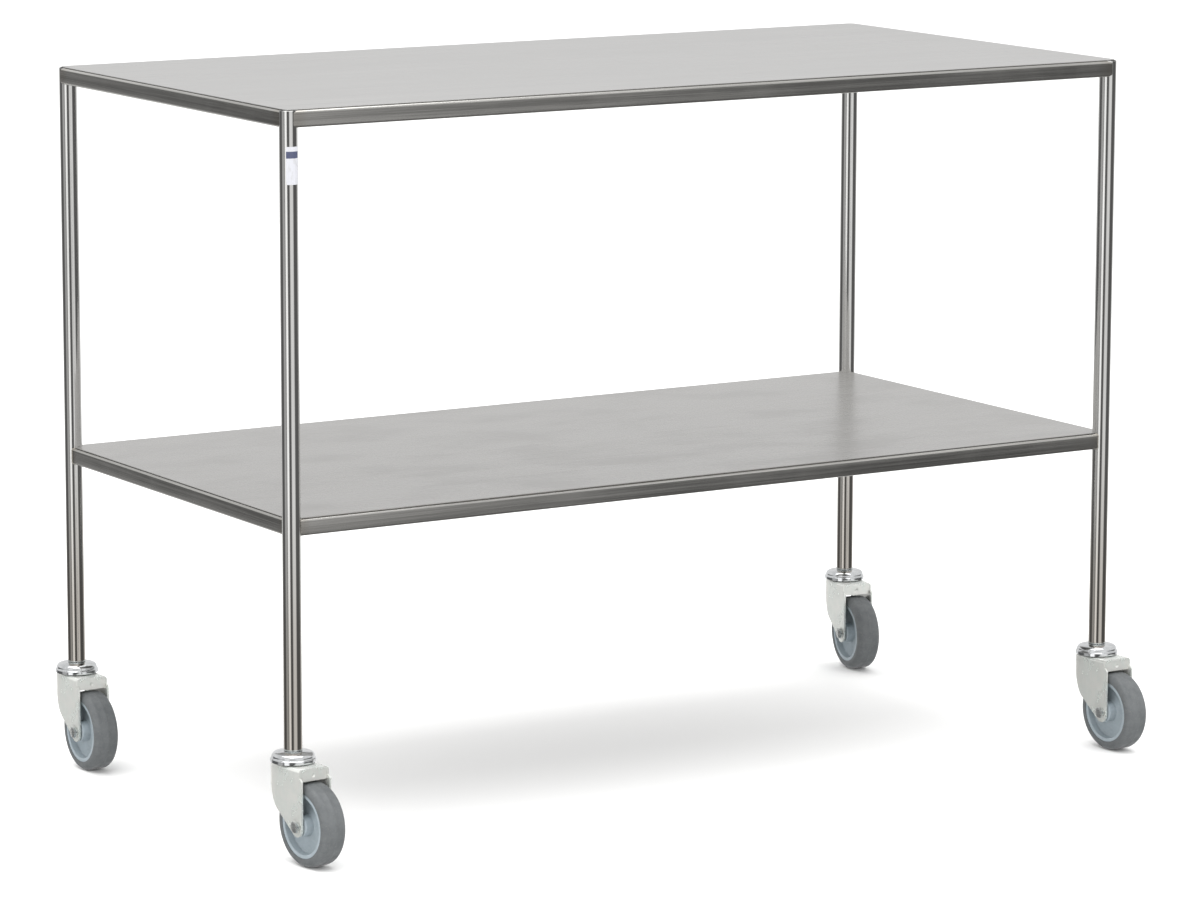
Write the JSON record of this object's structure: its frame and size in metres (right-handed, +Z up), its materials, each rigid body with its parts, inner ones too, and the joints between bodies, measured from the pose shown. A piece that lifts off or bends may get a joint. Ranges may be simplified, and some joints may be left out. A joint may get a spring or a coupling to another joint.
{
  "type": "work table",
  "caption": "Rectangular stainless steel work table with a flat top and a full lower shelf on round tube legs, rolling on swivel casters.",
  "frame": {"origin": "on the floor, in the middle of the whole object's bounding box in plan, with the casters as they stand at rest", "axes": "+X along the worktop's length, +Y from the front to the back, +Z up; the casters trail towards -Y at rest"},
  "size_m": [1.2337, 0.6934, 0.888],
  "materials": {
    "polished_tube": "polished stainless steel tube",
    "satin_tube": "satin stainless steel tube, ground along its length",
    "worktop_sheet": "brushed stainless steel sheet",
    "shelf_sheet": "brushed stainless steel sheet",
    "folded_sheet": "mill finish stainless steel",
    "dome_chrome": "bright chrome plate",
    "fork_zinc": "bright zinc plate",
    "bright_steel": "plated steel",
    "wheel_nylon": "moulded grey nylon",
    "tyre_rubber": "grey non-marking rubber",
    "label": "plain coated label"
  },
  "bodies": {
    "table": {"leg_front_left": "polished_tube", "leg_front_right": "polished_tube", "leg_back_left": "polished_tube", "leg_back_right": "polished_tube", "top_rail_front": "satin_tube", "top_rail_right": "satin_tube", "top_rail_back": "satin_tube", "top_rail_left": "satin_tube", "shelf_rail_front": "satin_tube", "shelf_rail_right": "satin_tube", "shelf_rail_back": "satin_tube", "shelf_rail_left": "satin_tube", "worktop": "worktop_sheet", "shelf": "shelf_sheet", "worktop_stiffener": "folded_sheet", "shelf_stiffener": "folded_sheet", "leg_label": "label", "plug_front_left": "bright_steel", "stem_front_left": "bright_steel", "dome_front_left": "dome_chrome", "plug_front_right": "bright_steel", "stem_front_right": "bright_steel", "dome_front_right": "dome_chrome", "plug_back_left": "bright_steel", "stem_back_left": "bright_steel", "dome_back_left": "dome_chrome", "plug_back_right": "bright_steel", "stem_back_right": "bright_steel", "dome_back_right": "dome_chrome"},
    "caster_front_left": {"fork_front_left": "fork_zinc", "ball_ring_front_left": "bright_steel", "axle_bolt_front_left": "bright_steel", "axle_nut_front_left": "bright_steel", "axle_sleeve_front_left": "bright_steel"},
    "wheel_front_left": {"wheel_core_front_left": "wheel_nylon", "tyre_front_left": "tyre_rubber"},
    "caster_front_right": {"fork_front_right": "fork_zinc", "ball_ring_front_right": "bright_steel", "axle_bolt_front_right": "bright_steel", "axle_nut_front_right": "bright_steel", "axle_sleeve_front_right": "bright_steel"},
    "wheel_front_right": {"wheel_core_front_right": "wheel_nylon", "tyre_front_right": "tyre_rubber"},
    "caster_back_left": {"fork_back_left": "fork_zinc", "ball_ring_back_left": "bright_steel", "axle_bolt_back_left": "bright_steel", "axle_nut_back_left": "bright_steel", "axle_sleeve_back_left": "bright_steel"},
    "wheel_back_left": {"wheel_core_back_left": "wheel_nylon", "tyre_back_left": "tyre_rubber"},
    "caster_back_right": {"fork_back_right": "fork_zinc", "ball_ring_back_right": "bright_steel", "axle_bolt_back_right": "bright_steel", "axle_nut_back_right": "bright_steel", "axle_sleeve_back_right": "bright_steel"},
    "wheel_back_right": {"wheel_core_back_right": "wheel_nylon", "tyre_back_right": "tyre_rubber"}
  },
  "joints": [
    {"name": "swivel_front_left", "type": "hinge", "parent": "table", "child": "caster_front_left", "pos_m": [-0.589, -0.2585, 0.118], "axis": [0, 0, 1], "continuous": true},
    {"name": "roll_front_left", "type": "hinge", "parent": "caster_front_left", "child": "wheel_front_left", "pos_m": [-0.5847, -0.29626, 0.05], "axis": [0.9936, 0.1132, 0], "continuous": true},
    {"name": "swivel_front_right", "type": "hinge", "parent": "table", "child": "caster_front_right", "pos_m": [0.589, -0.2585, 0.118], "axis": [0, 0, 1], "continuous": true},
    {"name": "roll_front_right", "type": "hinge", "parent": "caster_front_right", "child": "wheel_front_right", "pos_m": [0.59033, -0.29648, 0.05], "axis": [0.9994, 0.0349, 0], "continuous": true},
    {"name": "swivel_back_left", "type": "hinge", "parent": "table", "child": "caster_back_left", "pos_m": [-0.589, 0.3195, 0.118], "axis": [0, 0, 1], "continuous": true},
    {"name": "roll_back_left", "type": "hinge", "parent": "caster_back_left", "child": "wheel_back_left", "pos_m": [-0.5888, 0.2815, 0.05], "axis": [1, 0.0052, 0], "continuous": true},
    {"name": "swivel_back_right", "type": "hinge", "parent": "table", "child": "caster_back_right", "pos_m": [0.589, 0.3195, 0.118], "axis": [0, 0, 1], "continuous": true},
    {"name": "roll_back_right", "type": "hinge", "parent": "caster_back_right", "child": "wheel_back_right", "pos_m": [0.5826, 0.28204, 0.05], "axis": [0.9857, -0.1685, 0], "continuous": true}
  ]
}
